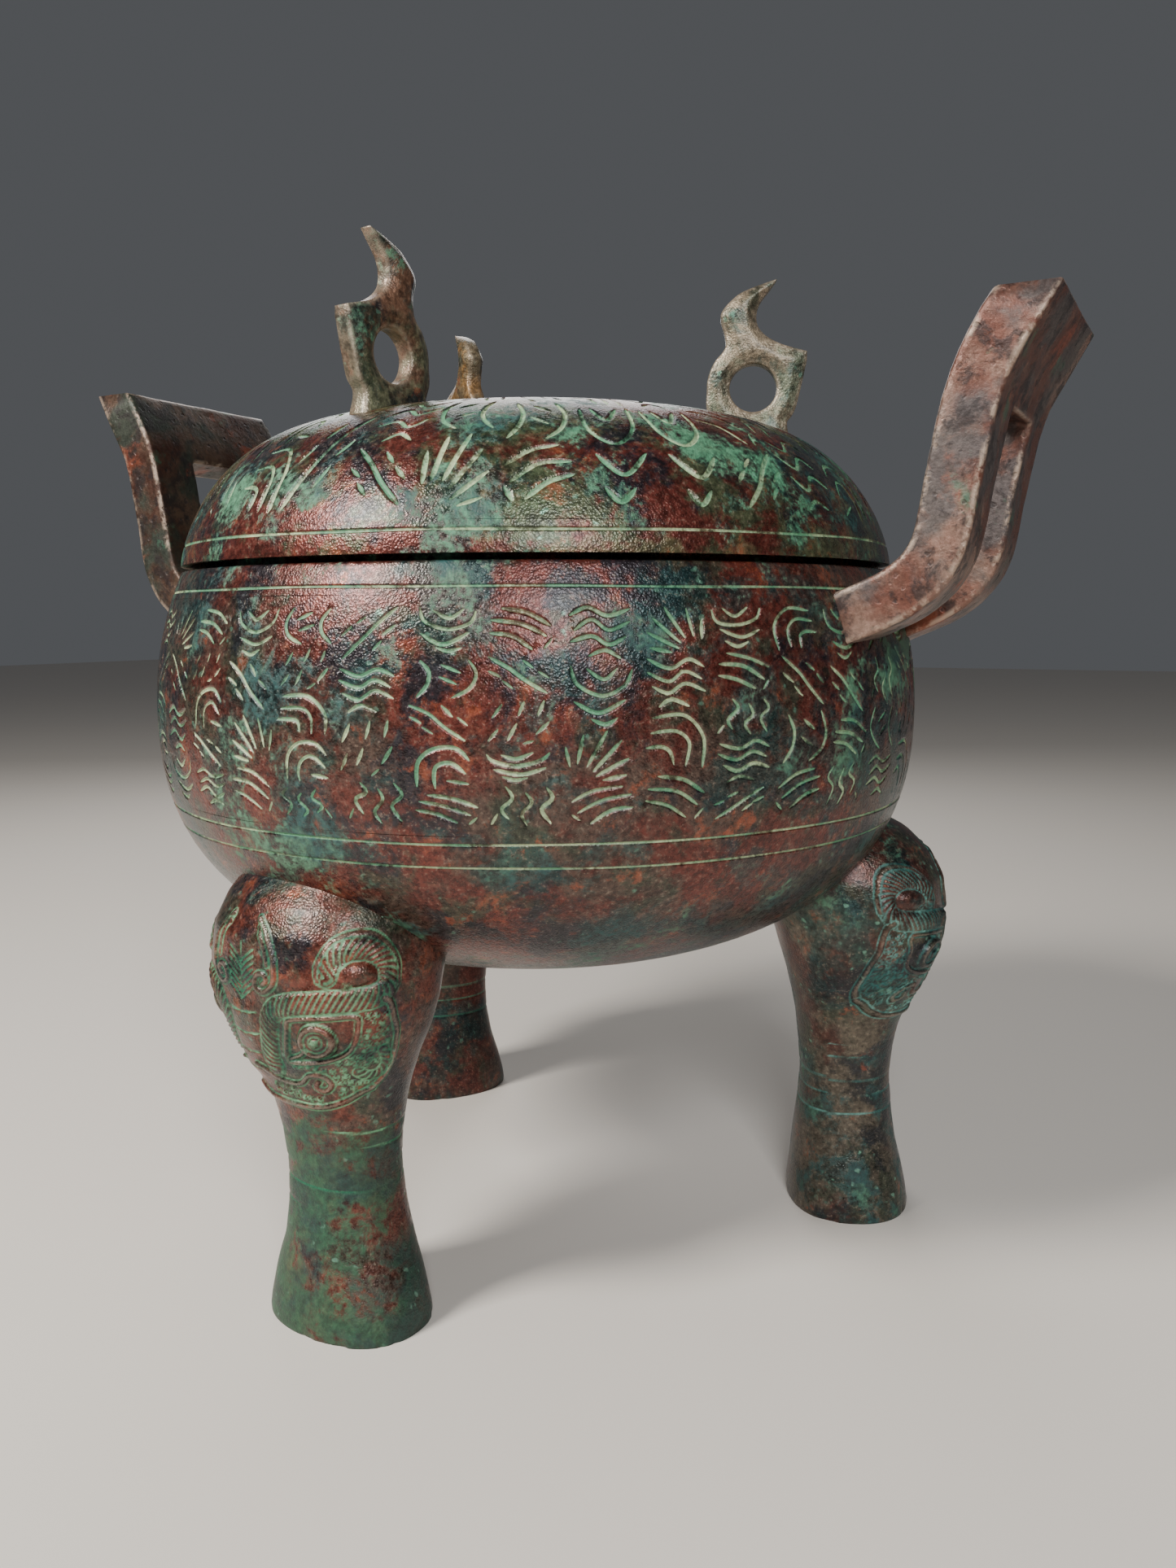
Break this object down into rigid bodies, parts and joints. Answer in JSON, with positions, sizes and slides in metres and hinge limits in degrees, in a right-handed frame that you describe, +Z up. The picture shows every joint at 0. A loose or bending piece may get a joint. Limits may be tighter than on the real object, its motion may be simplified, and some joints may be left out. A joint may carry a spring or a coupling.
{
  "type": "lidded tripod cauldron",
  "caption": "Bronze ding: round deep bowl on hoofed mask legs, upright bent handles, domed lid with hooked ring knobs and rows of incised strokes.",
  "frame": {"origin": "in the plane of the feet, under the middle of the part's box; the bowl's axis stands 1 mm behind it, towards +Y", "axes": "+Z up along the bowl's axis, +X through the middle of one handle, -X through the other, -Y towards the single leg between them"},
  "size_m": [0.4394, 0.3254, 0.4027],
  "materials": {
    "vessel_bronze": "cast bronze with maroon, brown and malachite patina",
    "lid_bronze": "cast bronze with maroon, brown and malachite patina"
  },
  "bodies": {
    "root": {"vessel": "vessel_bronze", "lid": "lid_bronze"}
  },
  "joints": []
}
